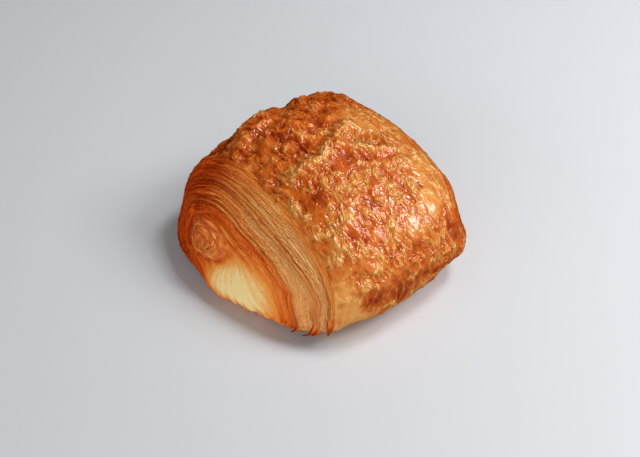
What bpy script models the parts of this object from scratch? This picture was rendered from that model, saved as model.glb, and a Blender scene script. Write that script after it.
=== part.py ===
"""Rolled laminated breakfast pastry, baked and uncut, as one closed solid.

The roll lies along X.  Its left end shows a swirl of stacked layers around an eye, its right
end a smaller one, and the glazed outer sheet wraps over the crown between the two.  The body
is a loft: every section is a closed curve around the roll, and the sections shrink to the eye
at each end.  It rests on its flat base at z = 0, with the origin under the middle of its box.
Units are metres, +Z is up and -Y is the front.
"""

import bpy
import numpy as np

MM = 0.001

# Driving sizes of the body.
EYE_LEFT = np.array([-53.2, 13.6, 20.4]) * MM
EYE_RIGHT = np.array([51.3, 11.0, 16.8]) * MM
CROWN_X = -1.6 * MM
FRONT_Y = -54.2 * MM
BACK_Y = 57.5 * MM
CROWN_Z = 52.6 * MM
BELLY_DROP = 1.25          # how far the belly would hang below the board, per eye height
BASE_EDGE = 2.2 * MM       # softness of the edge around the flat base

# Squareness of a section: 2 is an ellipse, more is boxier.
SQUARE_FRONT = 2.33
SQUARE_BACK = 2.8
SQUARE_BELLY_LEFT = 3.2
SQUARE_BELLY_RIGHT = 2.25

# How each side closes towards an eye: (fullness along the roll, roundness at the eye).
CLOSE_LEFT = {"front": (3.8, 1.75), "back": (2.65, 2.55), "top": (2.05, 1.8), "belly": (3.3, 3.1)}
CLOSE_RIGHT = {"front": (2.9, 3.1), "back": (3.7, 2.7), "top": (3.1, 2.15), "belly": (2.7, 2.6)}

# The sections of the left end lean back as they rise, so that its eye looks upwards.
LEAN_UP = 0.55
LEAN_BACK = -0.07

# Layers: the glazed sheet ends at these shares of the way from the left eye to the right one.
SHEET_LEFT = 0.262
SHEET_RIGHT = 0.845
EYE_RADIUS_LEFT = 0.056
EYE_RADIUS_RIGHT = 0.040
EYE_DOME = 1.6 * MM
EYE_RINGS = (0.2, 0.45, 0.7, 0.9)   # rings of the eye, as shares of its radius
LAYERS_LEFT = 7
LAYERS_RIGHT = 5
LAYER_STEP = 0.75 * MM     # height of the step from one layer up to the next
LAYERS_BELOW = 0.45 * MM   # how far the layers lie below the glazed sheet on average
STEP_RUN = 0.004           # share of the way over which one layer steps up to the next
LAYER_CROWDING = 1.15      # more than 1 draws the layers together towards the eye

# The layers are pulled towards the crown where they tuck under the front.
PULL = 0.055
PULL_ANGLE = np.radians(207)
PULL_SPREAD = np.radians(34)
PULL_WIDTH = 0.20
PULL_STARTS = (0.03, 0.12)  # the pull fades in between these shares of the way

# Folds fade in between these heights, as shares of the crown's.
FOLD_STARTS = (0.45, 0.9)

# Small steps of way and angle over which the slope of the body is measured.
SLOPE_WAY = 1e-4
SLOPE_ANGLE = 1e-3

# Mesh density.
SEGMENTS = 72
SHEET_STATIONS = 21

# Folds that run over the crown: plan points in mm, half width in mm, height in mm.
FOLDS = (
    (((16, 12), (3, 5), (-6, -1), (-16, -1)), 4.0, 1.5),
    (((5, 2), (12, -4), (21, -8), (24, -16)), 3.5, 1.1),
    (((9, 58), (5, 42), (-5, 35), (-16, 34), (-22, 28)), 3.2, -2.6),
)

# Swells and dents of the body: centre in mm, reach in mm, height in mm.
SWELLS = (
    ((30, 42, 45), 9, 1.3),
    ((14, 48, 44), 5, 0.8),
    ((1, 49, 45), 4, 0.9),
    ((38, 30, 42), 11, -1.4),
    ((38, -43, 16), 8, 1.8),
    ((13, -53, 14), 11, -1.6),
    ((26, -49, 11), 6, -2.0),
    ((43, -35, 26), 7, -1.6),
    ((-42, 43, 27), 9, 2.0),
    ((-37, 49, 30), 6, 1.2),
    ((-28, 45, 38), 10, -2.4),
    ((-17, 52, 38), 8, -1.8),
    ((-8, 46, 47), 6, 0.8),
    ((-57, 2, 5), 9, 1.4),
    ((-34, -43, 6), 9, 1.4),
    ((-24, -49, 6), 6, -1.0),
    ((-36, -43, 4), 4, -1.4),
    ((-49, -22, 5), 10, -1.4),
    ((21, -39, 41), 7, 1.5),
    ((8, -44, 39), 6, 1.1),
    ((-3, 25, 52), 8, 1.0),
)

CRUST_COLOUR = (0.52, 0.22, 0.065, 1.0)
CRUST_ROUGHNESS = 0.42


def close_towards_eye(share, fullness, roundness):
    """Size of a section at a share of the way from an eye (0) to the crown (1)."""
    return (1.0 - (1.0 - share) ** fullness) ** (1.0 / roundness)


def signed_power(value, exponent):
    """Power that keeps the sign, for the superellipse sections."""
    return np.sign(value) * np.abs(value) ** exponent


def settle_on_base(height):
    """Flatten everything below the board, with a soft edge of BASE_EDGE around the flat."""
    bend = (height + BASE_EDGE) ** 2 / (4.0 * BASE_EDGE)
    return np.where(height >= BASE_EDGE, height, np.where(height <= -BASE_EDGE, 0.0, bend))


def smooth_step(value, low, high):
    """0 below low, 1 above high, and an S between them."""
    share = ((value - low) / (high - low)).clip(0.0, 1.0)
    return share * share * (3.0 - 2.0 * share)


def body_point(way, angle):
    """Smooth body: way runs 0..1 from eye to eye, angle around the roll from the back over
    the top to the front.  Both are arrays of one shape; returns points before settling."""
    turn = np.cos(np.pi * way)
    left = turn > 0.0
    x = np.where(left, CROWN_X + (EYE_LEFT[0] - CROWN_X) * turn,
                 CROWN_X + (CROWN_X - EYE_RIGHT[0]) * turn)
    share = np.where(left, (x - EYE_LEFT[0]) / (CROWN_X - EYE_LEFT[0]),
                     (EYE_RIGHT[0] - x) / (EYE_RIGHT[0] - CROWN_X)).clip(0.0, 1.0)
    size = {side: np.where(left, close_towards_eye(share, *CLOSE_LEFT[side]),
                           close_towards_eye(share, *CLOSE_RIGHT[side]))
            for side in CLOSE_LEFT}
    along = (x - EYE_LEFT[0]) / (EYE_RIGHT[0] - EYE_LEFT[0])
    eye_y = EYE_LEFT[1] + (EYE_RIGHT[1] - EYE_LEFT[1]) * along
    eye_z = EYE_LEFT[2] + (EYE_RIGHT[2] - EYE_LEFT[2]) * along
    belly = SQUARE_BELLY_LEFT + (SQUARE_BELLY_RIGHT - SQUARE_BELLY_LEFT) * along

    cosine, sine = np.cos(angle), np.sin(angle)
    square = np.where(sine < 0.0, belly, np.where(cosine < 0.0, SQUARE_FRONT, SQUARE_BACK))
    half_width = np.where(cosine < 0.0, (eye_y - FRONT_Y) * size["front"],
                          (BACK_Y - eye_y) * size["back"])
    half_height = np.where(sine < 0.0, BELLY_DROP * eye_z * size["belly"],
                           (CROWN_Z - eye_z) * size["top"])
    across = half_width * signed_power(cosine, 2.0 / square)
    rise = half_height * signed_power(sine, 2.0 / square)
    lean = np.where(left, (1.0 - share) ** 2 * (1.0 + 2.0 * share), 0.0)
    x = x + lean * (LEAN_BACK * across + LEAN_UP * rise)
    return np.stack([x, eye_y + across, eye_z + rise], axis=-1)


def pulled(way, angle):
    """Way of a layer at an angle around the roll, pulled in where it tucks under the front."""
    near = np.exp(-((angle - PULL_ANGLE) / PULL_SPREAD) ** 2)
    share = np.exp(-((way - SHEET_LEFT) / PULL_WIDTH) ** 2)
    return way + PULL * near * share * smooth_step(way, *PULL_STARTS)


def outward(way, angle):
    """Unit normals of the smooth body, pointing out."""
    inner = way.clip(2 * SLOPE_WAY, 1 - 2 * SLOPE_WAY)
    along = body_point(inner + SLOPE_WAY, angle) - body_point(inner - SLOPE_WAY, angle)
    around = body_point(inner, angle + SLOPE_ANGLE) - body_point(inner, angle - SLOPE_ANGLE)
    normal = np.cross(around, along)
    return normal / np.linalg.norm(normal, axis=-1, keepdims=True).clip(1e-12)


def distance_to_path(points, path):
    """Distance in plan from each point to a path of straight runs."""
    nearest = np.full(points.shape[:-1], np.inf)
    for start, end in zip(path[:-1], path[1:]):
        start, run = np.array(start) * MM, (np.array(end) - np.array(start)) * MM
        offset = points[..., :2] - start
        reach = ((offset @ run) / (run @ run)).clip(0.0, 1.0)
        gap = np.linalg.norm(offset - reach[..., None] * run, axis=-1)
        nearest = np.minimum(nearest, gap)
    return nearest


def crown_relief(points):
    """Height of the folds, swells and dents at each point."""
    height = np.zeros(points.shape[:-1])
    on_top = smooth_step(points[..., 2] / CROWN_Z, *FOLD_STARTS)
    for path, half_width, rise in FOLDS:
        gap = distance_to_path(points, path) / (half_width * MM)
        height += rise * MM * np.exp(-gap ** 2) * on_top
    for centre, reach, rise in SWELLS:
        gap = np.linalg.norm(points - np.array(centre) * MM, axis=-1) / (reach * MM)
        height += rise * MM * np.exp(-gap ** 2)
    return height


def layer_edges(eye_radius, sheet_edge, layers):
    """Where the stacked layers of one end begin, closer together towards the eye."""
    steps = np.arange(layers + 1) / layers
    return eye_radius + (sheet_edge - eye_radius) * steps ** LAYER_CROWDING


def end_stations(eye_radius, sheet_edge, layers):
    """Stations and their relief for one end, from its eye to the edge of the glazed sheet."""
    stations = []
    for share in EYE_RINGS:
        stations.append((eye_radius * share, EYE_DOME * (1.0 - share ** 2) - LAYERS_BELOW))
    stations.append((eye_radius, -LAYER_STEP - LAYERS_BELOW))
    edges = layer_edges(eye_radius, sheet_edge, layers)
    for start, end in zip(edges[:-1], edges[1:]):
        stations.append((start + STEP_RUN, LAYER_STEP / 2 - LAYERS_BELOW))
        stations.append(((start + end) / 2, -LAYERS_BELOW))
        stations.append((end, -LAYER_STEP / 2 - LAYERS_BELOW))
    return stations


def all_stations():
    """Every ring of the loft as (way, relief), from the left eye to the right one."""
    left = end_stations(EYE_RADIUS_LEFT, SHEET_LEFT, LAYERS_LEFT)
    right = end_stations(EYE_RADIUS_RIGHT, 1.0 - SHEET_RIGHT, LAYERS_RIGHT)
    first, last = SHEET_LEFT + STEP_RUN, SHEET_RIGHT - STEP_RUN
    sheet = [(way, 0.0) for way in np.linspace(first, last, SHEET_STATIONS)]
    return left + sheet + [(1.0 - way, relief) for way, relief in reversed(right)]


def pastry_points():
    """Rings of points of the loft, and the two eye points."""
    stations = all_stations()
    ways = np.array([way for way, relief in stations])
    step_relief = np.array([relief for way, relief in stations])
    angles = np.arange(SEGMENTS) * 2.0 * np.pi / SEGMENTS
    way, angle = np.meshgrid(ways, angles, indexing="ij")
    way = pulled(way, angle)
    points = body_point(way, angle)
    relief = crown_relief(points) + step_relief[:, None]
    points = points + outward(way, angle) * relief[..., None]
    left_out = np.array([-1.0, LEAN_BACK, LEAN_UP])
    right_out = np.array([1.0, 0.0, 0.0])
    dome = EYE_DOME - LAYERS_BELOW
    eyes = np.array([EYE_LEFT + dome * left_out / np.linalg.norm(left_out),
                     EYE_RIGHT + dome * right_out])
    points[..., 2] = settle_on_base(points[..., 2])
    middle = (points.max(axis=(0, 1)) + points.min(axis=(0, 1))) / 2.0
    shift = np.array([middle[0], middle[1], 0.0])
    return points - shift, eyes - shift


def loft_faces(rings, segments):
    """Quads between rings and a fan at each eye; eye vertices come after the ring vertices."""
    left_eye, right_eye = rings * segments, rings * segments + 1
    faces = []
    for segment in range(segments):
        following = (segment + 1) % segments
        faces.append((left_eye, following, segment))
        last_ring = (rings - 1) * segments
        faces.append((right_eye, last_ring + segment, last_ring + following))
        for ring in range(rings - 1):
            near, far = ring * segments, (ring + 1) * segments
            faces.append((near + segment, near + following, far + following, far + segment))
    return faces


def crust_material():
    """Browned, egg-washed crust."""
    material = bpy.data.materials.new("crust")
    material.use_nodes = True
    shader = material.node_tree.nodes["Principled BSDF"]
    shader.inputs["Base Color"].default_value = CRUST_COLOUR
    shader.inputs["Roughness"].default_value = CRUST_ROUGHNESS
    shader.inputs["Metallic"].default_value = 0.0
    return material


def make_pastry():
    """The whole pastry as one named object."""
    points, eyes = pastry_points()
    rings, segments = points.shape[:2]
    vertices = np.concatenate([points.reshape(-1, 3), eyes])
    mesh = bpy.data.meshes.new("pastry")
    mesh.from_pydata(vertices.tolist(), [], loft_faces(rings, segments))
    mesh.validate()
    mesh.shade_smooth()
    mesh.materials.append(crust_material())
    pastry = bpy.data.objects.new("pastry", mesh)
    bpy.context.collection.objects.link(pastry)
    return pastry


def main():
    for old in list(bpy.data.objects):
        bpy.data.objects.remove(old)
    make_pastry()


main()
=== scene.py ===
"""Baked look of a rolled laminated pastry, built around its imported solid.

The pastry is a loft along X.  Three closed pieces share its form: the large layered swirl on
the left, a smaller one on the right, and the glazed outer sheet that wraps over the crown.
A few pointed corners of dough stick out where the layers tuck under the front.
Lengths in the tables below are in millimetres; everything that is built is in metres.
"""

import math
from collections import namedtuple

import bpy
import numpy as np
from bpy.props import FloatProperty, FloatVectorProperty, IntProperty, PointerProperty
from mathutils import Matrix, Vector


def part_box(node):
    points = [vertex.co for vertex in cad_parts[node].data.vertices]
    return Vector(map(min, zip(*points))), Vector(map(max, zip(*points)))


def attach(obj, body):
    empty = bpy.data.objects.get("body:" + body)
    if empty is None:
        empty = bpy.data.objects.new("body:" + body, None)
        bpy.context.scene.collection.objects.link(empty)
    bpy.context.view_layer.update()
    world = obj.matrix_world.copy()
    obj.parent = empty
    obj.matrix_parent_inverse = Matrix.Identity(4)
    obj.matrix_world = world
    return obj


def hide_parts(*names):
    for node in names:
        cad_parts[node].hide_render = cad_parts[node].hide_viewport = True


bl_info = {
    "name": "Laminated Pastry",
    "version": (1, 0, 0),
    "blender": (4, 5, 0),
    "location": "View3D > Sidebar > Pastry",
    "description": "Builds the crust, layers and glaze of a rolled pastry around its solid",
    "category": "Object",
}

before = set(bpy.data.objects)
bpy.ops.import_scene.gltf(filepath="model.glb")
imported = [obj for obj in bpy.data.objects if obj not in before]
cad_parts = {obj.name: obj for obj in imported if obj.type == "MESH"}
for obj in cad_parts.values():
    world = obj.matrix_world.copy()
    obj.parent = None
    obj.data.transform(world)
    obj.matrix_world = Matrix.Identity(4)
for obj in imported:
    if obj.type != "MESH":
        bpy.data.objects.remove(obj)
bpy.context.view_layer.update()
CAD_NODE = "pastry"
BODY = "root"
MM = 0.001

# ------------ Form of the body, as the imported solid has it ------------

EYE_LEFT = np.array([-53.2, 13.6, 20.4])
EYE_RIGHT = np.array([51.3, 11.0, 16.8])
CROWN_X = -1.6
FRONT_Y = -54.2
BACK_Y = 57.5
CROWN_Z = 52.6
BELLY_DROP = 1.25
BASE_EDGE = 2.2
SQUARE_FRONT = 2.33
SQUARE_BACK = 2.8
SQUARE_BELLY_LEFT = 3.2
SQUARE_BELLY_RIGHT = 2.25
CLOSE_LEFT = {"front": (3.8, 1.75), "back": (2.65, 2.55), "top": (2.05, 1.8), "belly": (3.3, 3.1)}
CLOSE_RIGHT = {"front": (2.9, 3.1), "back": (3.7, 2.7), "top": (3.1, 2.15), "belly": (2.7, 2.6)}
LEAN_UP = 0.55
LEAN_BACK = -0.07
SHEET_LEFT = 0.262
SHEET_RIGHT = 0.845
PULL = 0.055
PULL_ANGLE = math.radians(207)
PULL_SPREAD = math.radians(34)
PULL_WIDTH = 0.20
PULL_FROM_EYE = (0.03, 0.12)
TOP_ANGLE = math.radians(100)
FULLEST_WAY = 0.45
RULER_POINTS = 2001
HIGH_ON_CROWN = (25.0, 38.0)

Fold = namedtuple("Fold", "path half_width rise")
Swell = namedtuple("Swell", "centre reach rise")
Spot = namedtuple("Spot", "centre reach toast smooth rim", defaults=(0.0,))

# Painted shade round a blister's rim, and the tone below which glaze and layers pale only by
# half.
BLISTER_RIM = 0.16
PALE_GLAZE = 0.30
PALE_LAYER = 0.24

FOLDS = (
    Fold(((16, 12), (3, 5), (-6, -1), (-16, -1)), 4.0, 1.5),
    Fold(((5, 2), (12, -4), (21, -8), (24, -16)), 3.5, 1.1),
    Fold(((9, 58), (5, 42), (-5, 35), (-16, 34), (-22, 28)), 3.2, -2.6),
)
SWELLS = (
    Swell((30, 42, 45), 9, 1.3),
    Swell((14, 48, 44), 5, 0.8),
    Swell((1, 49, 45), 4, 0.9),
    Swell((38, 30, 42), 11, -1.4),
    Swell((38, -43, 16), 8, 1.8),
    Swell((13, -53, 14), 11, -1.6),
    Swell((26, -49, 11), 6, -2.0),
    Swell((43, -35, 26), 7, -1.6),
    Swell((-42, 43, 27), 9, 2.0),
    Swell((-37, 49, 30), 6, 1.2),
    Swell((-28, 45, 38), 10, -2.4),
    Swell((-17, 52, 38), 8, -1.8),
    Swell((-8, 46, 47), 6, 0.8),
    Swell((-57, 2, 5), 9, 1.4),
    Swell((-34, -43, 6), 9, 1.4),
    Swell((-24, -49, 6), 6, -1.0),
    Swell((-36, -43, 4), 4, -1.4),
    Swell((-49, -22, 5), 10, -1.4),
    Swell((21, -39, 41), 7, 1.5),
    Swell((8, -44, 39), 6, 1.1),
    Swell((-3, 25, 52), 8, 1.0),
)

# Sharp raised creases of the glazed sheet, in plan, with their half width and height; their tops
# are painted paler, a painted highlight.
CREASES = (
    Fold(((16, 12), (9, 8), (3, 5), (-2, 0), (-6, -1), (-11, 1), (-16, -1), (-23, 0)), 3.0, 1.1),
    Fold(((5, 2), (12, -4), (17, -7), (21, -8), (25, -9)), 1.5, 1.2),
    Fold(((-10, 22), (-14, 15), (-22, 12), (-27, 6)), 1.8, 0.8),
    Fold(((24, -26), (19, -30), (16, -37), (10, -41)), 1.2, 0.5),
)

# Hollows of the glazed sheet, in plan: sunk, and painted darker as painted shade.
HOLLOWS = (
    Fold(((3, -2), (10, -8), (16, -11), (22, -13)), 2.2, -0.9),
    Fold(((8, 20), (-2, 14), (-9, 9)), 2.6, -0.6),
    Fold(((-5, -8), (-12, -10), (-18, -14)), 2.4, -0.5),
)

# Places on the glazed sheet that are browner (+) or paler (-), and how smooth they are.
SPOTS = (
    Spot((-26, -46, 27), 6, -0.26, 0.9),
    Spot((-26, -51, 16), 8, -0.30, 1.0),
    Spot((-21, -52, 7), 8, -0.26, 1.0),
    Spot((-8, -54, 22), 5, 0.14, 0.4),
    Spot((9, -50, 33), 5, 0.16, 0.4),
    Spot((28, -43, 35), 5, 0.16, 0.3),
    Spot((23, -38, 41), 6.6, -0.22, 1.0, 0.9),
    Spot((11, -44, 39), 5.4, -0.13, 0.7, 0.3),
    Spot((31, -33, 40), 5, -0.16, 0.6),
    Spot((-16, -17, 47), 4, 0.20, 0.5),
    Spot((12, -54, 8), 12, -0.10, 0.3),
    Spot((40, -15, 40), 9, -0.12, 0.3),
    Spot((27, 14, 47), 12, -0.16, 0.5),
    Spot((30, -17, 46), 9, -0.15, 0.3),
    Spot((27, -28, 45), 6, -0.12, 0.4),
    Spot((36, 2, 43), 8, -0.12, 0.4),
)

# ------------ Settings that a user would change ------------


def colour_property(name, description, default):
    """One colour setting."""
    return FloatVectorProperty(name=name, description=description, default=default,
                               subtype="COLOR", size=3, min=0.0, max=1.0)


class PastrySizes(bpy.types.PropertyGroup):
    """Sizes of the layers and wrinkles."""

    layers_left: IntProperty(
        name="Layers left", description="Stacked layers that show at the large swirl",
        default=12, min=3, max=30)
    layers_right: IntProperty(
        name="Layers right", description="Stacked layers that show at the small swirl",
        default=11, min=3, max=30)
    layer_step: FloatProperty(
        name="Layer step", description="Height of the step from one layer to the next",
        default=0.0008, min=0.0, max=0.003, subtype="DISTANCE", unit="LENGTH")
    wrinkle_height: FloatProperty(
        name="Wrinkle height", description="Height of the wrinkles of the glazed sheet",
        default=0.00068, min=0.0, max=0.003, subtype="DISTANCE", unit="LENGTH")
    wrinkle_length: FloatProperty(
        name="Wrinkle spacing", description="Distance from one fine wrinkle to the next",
        default=0.0030, min=0.001, max=0.01, subtype="DISTANCE", unit="LENGTH")
    sheet_thickness: FloatProperty(
        name="Sheet thickness", description="Thickness of the glazed outer sheet at its edge",
        default=0.0006, min=0.0004, max=0.004, subtype="DISTANCE", unit="LENGTH")


class PastryColours(bpy.types.PropertyGroup):
    """Colours of the dough from unbaked to dark."""

    crumb: colour_property("Crumb", "Stretched pale dough", (0.98, 0.79, 0.43))
    straw: colour_property("Straw", "Thin golden dough", (0.92, 0.43, 0.103))
    gold: colour_property("Gold", "Lightly baked crust", (0.78, 0.275, 0.049))
    amber: colour_property("Amber", "Well baked crust", (0.66, 0.122, 0.009))
    brown: colour_property("Brown", "Darkest baked edges", (0.32, 0.030, 0.002))
    porous: colour_property("Porous dough", "Open dough between the layers", (1.0, 0.55, 0.20))
    floor: colour_property("Floor", "Plain pale floor", (0.67, 0.70, 0.735))


class PastryStage(bpy.types.PropertyGroup):
    """Camera and light."""

    azimuth: FloatProperty(
        name="Azimuth", description="Direction the camera looks from, round the pastry",
        default=math.radians(-33.9), subtype="ANGLE", unit="ROTATION")
    elevation: FloatProperty(
        name="Elevation", description="How steeply the camera looks down",
        default=math.radians(43.0), subtype="ANGLE", unit="ROTATION")
    distance: FloatProperty(
        name="Distance", description="From the camera to the point it looks at",
        default=0.505, min=0.1, subtype="DISTANCE", unit="LENGTH")
    lens: FloatProperty(
        name="Lens", description="Focal length on a 36 mm sensor, in millimetres",
        default=63.0, min=20.0, unit="CAMERA")
    key_power: FloatProperty(
        name="Window light", description="Power of the broad light from the upper right",
        default=4.5, min=0.0, unit="POWER")
    high_power: FloatProperty(
        name="High window light", description="Power of the small light high on the right",
        default=3.4, min=0.0, unit="POWER")
    fill_power: FloatProperty(
        name="Fill light", description="Power of the weak light from the left",
        default=22.0, min=0.0, unit="POWER")
    sky: FloatProperty(
        name="Sky", description="Strength of the light from all round",
        default=0.15, min=0.0)


# ------------ Smooth noise ------------


def lattice_noise(points, seed):
    """Gradient noise in 3D, about -1 to 1.  Every use has its own seed, so no other moves it."""
    random = np.random.default_rng(seed)
    table_size = 256
    shuffle = random.permutation(table_size)
    slopes = random.normal(size=(table_size, 3))
    slopes /= np.linalg.norm(slopes, axis=1, keepdims=True)
    cell = np.floor(points).astype(int)
    inside = points - cell
    fade = inside ** 3 * (inside * (inside * 6 - 15) + 10)
    total = np.zeros(points.shape[:-1])
    for corner in np.ndindex(2, 2, 2):
        place = (cell + corner) % table_size
        pick = shuffle[(shuffle[(shuffle[place[..., 0]] + place[..., 1]) % table_size]
                        + place[..., 2]) % table_size]
        value = ((inside - corner) * slopes[pick]).sum(-1)
        weight = np.prod(np.where(np.array(corner) == 1, fade, 1.0 - fade), axis=-1)
        total += value * weight
    to_about_one = 1.6
    return total * to_about_one


def cloud(points, wavelength, seed, octaves=3):
    """Layered noise whose largest lumps are about a wavelength across."""
    total, height, size = 0.0, 1.0, wavelength
    for octave in range(octaves):
        total = total + height * lattice_noise(points / size, seed + octave)
        height, size = height * 0.5, size * 0.5
    to_about_one = 1.6
    return total / to_about_one


def bell(offset, width):
    """1 where the offset is nothing, falling away smoothly over the width."""
    return np.exp(-(offset / width) ** 2)


def crests(points, wavelength, seed, width):
    """Thin winding crests, 0 to 1, with broad hollows between them."""
    return bell(lattice_noise(points / wavelength, seed), width)


def crumpled(points, wavelength, seed, octaves=3):
    """Ridged noise, about 0 to 1: narrow branching crests that carry finer crests."""
    sharpness, branching, to_about_one = 4, 1.6, 1.5
    total, weight, height, size = 0.0, 1.0, 1.0, wavelength
    for octave in range(octaves):
        crest = (1.0 - np.abs(lattice_noise(points / size, seed + octave))).clip(0.0) ** sharpness
        total = total + crest * weight * height
        weight = (crest * weight * branching).clip(0.0, 1.0)
        height, size = height * 0.5, size * 0.5
    return total / to_about_one


def smooth_step(value, low, high):
    """0 below low, 1 above high, and an S between them."""
    share = ((value - low) / (high - low)).clip(0.0, 1.0)
    return share * share * (3.0 - 2.0 * share)


def hump(value, centre, reach):
    """1 at the centre and 0 beyond the reach."""
    return 1.0 - smooth_step(np.abs(value - centre), 0.0, reach)


def band(value, rise_from, rise_to, fall_from, fall_to):
    """1 inside a band and 0 outside it, with soft sides."""
    return smooth_step(value, rise_from, rise_to) * (1.0 - smooth_step(value, fall_from, fall_to))


def angle_band(angle, *degrees):
    """The same for an angle, with the sides in degrees."""
    return band(angle, *(math.radians(side) for side in degrees))


def saw(across, turn):
    """Slope that falls from 0.5 to -0.5 across a layer and rises again after the turn."""
    return 0.5 - across + smooth_step(across, turn, 1.0)


def weighted(weights, **features):
    """Sum of the named features, each times its own weight."""
    return sum(weight * features[name] for name, weight in weights.items())


def paler_by_half(toast, limit):
    """The toast, with only half of what goes below the limit."""
    return toast + 0.5 * (limit - toast).clip(0.0)


def unit(vectors, least=1e-9):
    """Vectors brought to length 1."""
    return vectors / np.linalg.norm(vectors, axis=-1, keepdims=True).clip(least)


# ------------ Body ------------


def close_towards_eye(share, fullness, roundness):
    """Size of a section at a share of the way from an eye (0) to the crown (1)."""
    return (1.0 - (1.0 - share) ** fullness) ** (1.0 / roundness)


def signed_power(value, exponent):
    """Power that keeps the sign, for the superellipse sections."""
    return np.sign(value) * np.abs(value) ** exponent


def settle_on_base(height):
    """Flatten everything below the board, with a soft edge round the flat."""
    bend = (height + BASE_EDGE) ** 2 / (4.0 * BASE_EDGE)
    return np.where(height >= BASE_EDGE, height, np.where(height <= -BASE_EDGE, 0.0, bend))


def body_point(way, angle):
    """Smooth body in millimetres: way runs 0 to 1 from eye to eye, angle round the roll from
    the back over the top to the front."""
    turn = np.cos(np.pi * way)
    left = turn > 0.0
    x = np.where(left, CROWN_X + (EYE_LEFT[0] - CROWN_X) * turn,
                 CROWN_X + (CROWN_X - EYE_RIGHT[0]) * turn)
    share = np.where(left, (x - EYE_LEFT[0]) / (CROWN_X - EYE_LEFT[0]),
                     (EYE_RIGHT[0] - x) / (EYE_RIGHT[0] - CROWN_X)).clip(0.0, 1.0)
    size = {side: np.where(left, close_towards_eye(share, *CLOSE_LEFT[side]),
                           close_towards_eye(share, *CLOSE_RIGHT[side]))
            for side in CLOSE_LEFT}
    along = (x - EYE_LEFT[0]) / (EYE_RIGHT[0] - EYE_LEFT[0])
    eye_y = EYE_LEFT[1] + (EYE_RIGHT[1] - EYE_LEFT[1]) * along
    eye_z = EYE_LEFT[2] + (EYE_RIGHT[2] - EYE_LEFT[2]) * along
    belly = SQUARE_BELLY_LEFT + (SQUARE_BELLY_RIGHT - SQUARE_BELLY_LEFT) * along

    cosine, sine = np.cos(angle), np.sin(angle)
    square = np.where(sine < 0.0, belly, np.where(cosine < 0.0, SQUARE_FRONT, SQUARE_BACK))
    half_width = np.where(cosine < 0.0, (eye_y - FRONT_Y) * size["front"],
                          (BACK_Y - eye_y) * size["back"])
    half_height = np.where(sine < 0.0, BELLY_DROP * eye_z * size["belly"],
                           (CROWN_Z - eye_z) * size["top"])
    across = half_width * signed_power(cosine, 2.0 / square)
    rise = half_height * signed_power(sine, 2.0 / square)
    lean = np.where(left, (1.0 - share) ** 2 * (1.0 + 2.0 * share), 0.0)
    x = x + lean * (LEAN_BACK * across + LEAN_UP * rise)
    return np.stack([x, eye_y + across, eye_z + rise], axis=-1)


def pulled(way, angle):
    """Way of a layer at an angle round the roll, pulled in where it tucks under the front."""
    share = bell(angle - PULL_ANGLE, PULL_SPREAD) * bell(way - SHEET_LEFT, PULL_WIDTH)
    return way + PULL * share * smooth_step(np.asarray(way), *PULL_FROM_EYE)


def outward(way, angle):
    """Unit normals of the smooth body, pointing out."""
    small_way, small_angle = 1e-4, 1e-3
    inner = way.clip(2 * small_way, 1 - 2 * small_way)
    along = body_point(inner + small_way, angle) - body_point(inner - small_way, angle)
    around = body_point(inner, angle + small_angle) - body_point(inner, angle - small_angle)
    return unit(np.cross(around, along), 1e-12)


def distance_to_path(points, path):
    """Distance in plan from each point to a path of straight runs."""
    nearest = np.full(points.shape[:-1], np.inf)
    for start, end in zip(path[:-1], path[1:]):
        start, run = np.array(start), np.array(end) - np.array(start)
        offset = points[..., :2] - start
        reach = ((offset @ run) / (run @ run)).clip(0.0, 1.0)
        gap = np.linalg.norm(offset - reach[..., None] * run, axis=-1)
        nearest = np.minimum(nearest, gap)
    return nearest


def crown_relief(points):
    """Height of the folds and swells at each point."""
    height = np.zeros(points.shape[:-1])
    on_top = smooth_step(points[..., 2] / CROWN_Z, 0.45, 0.9)
    for fold in FOLDS:
        height += fold.rise * bell(distance_to_path(points, fold.path), fold.half_width) * on_top
    for swell in SWELLS:
        height += swell.rise * nearness(points, swell.centre, swell.reach)
    return height


def nearness(points, centre, reach):
    """1 at a centre, falling away smoothly over the reach."""
    return bell(np.linalg.norm(points - np.array(centre), axis=-1), reach)


def middle_of_body():
    """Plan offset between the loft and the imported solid, whose origin is under its middle."""
    samples = 200
    way, angle = np.meshgrid(np.linspace(0, 1, samples), np.linspace(0, 2 * np.pi, samples))
    points = body_point(way, angle)
    points = points + outward(way, angle) * crown_relief(points)[..., None]
    low, high = points.min(axis=(0, 1)), points.max(axis=(0, 1))
    node_low, node_high = (np.array(corner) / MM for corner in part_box(CAD_NODE))
    shift = (low + high) / 2.0 - (node_low + node_high) / 2.0
    shift[2] = 0.0
    return shift


SHIFT = middle_of_body()


def steps_of(line):
    """Length of each step along a line of points."""
    return np.linalg.norm(np.diff(line, axis=0), axis=1)


def summed(steps):
    """Length covered at each point of a line, from its steps."""
    return np.concatenate([[0.0], np.cumsum(steps)])


def fullest_ring(count):
    """Angles and points of one ring of the body where it is fullest."""
    angles = np.linspace(0.0, 2.0 * np.pi, count)
    return angles, body_point(np.full_like(angles, FULLEST_WAY), angles)


def even_angles(count, base_share):
    """Angles round the roll, evenly spaced over the crown and sparser under the base."""
    fine, ring = fullest_ring(2 * RULER_POINTS - 1)
    height = (ring[1:, 2] + ring[:-1, 2]) / 2.0
    length = summed(steps_of(ring) * np.where(height < -BASE_EDGE, base_share, 1.0))
    return np.interp(np.arange(count) / count * length[-1], length, fine)


def arc_round(angle):
    """Distance round the roll where it is fullest, in millimetres."""
    fine, ring = fullest_ring(RULER_POINTS)
    return np.interp(angle, fine, summed(steps_of(ring)))


def arc_along(way):
    """Distance along the top of the roll from the left eye, in millimetres."""
    fine = np.linspace(0.0, 1.0, RULER_POINTS)
    line = body_point(fine, np.full_like(fine, TOP_ANGLE))
    return np.interp(way, fine, summed(steps_of(line)))


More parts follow.
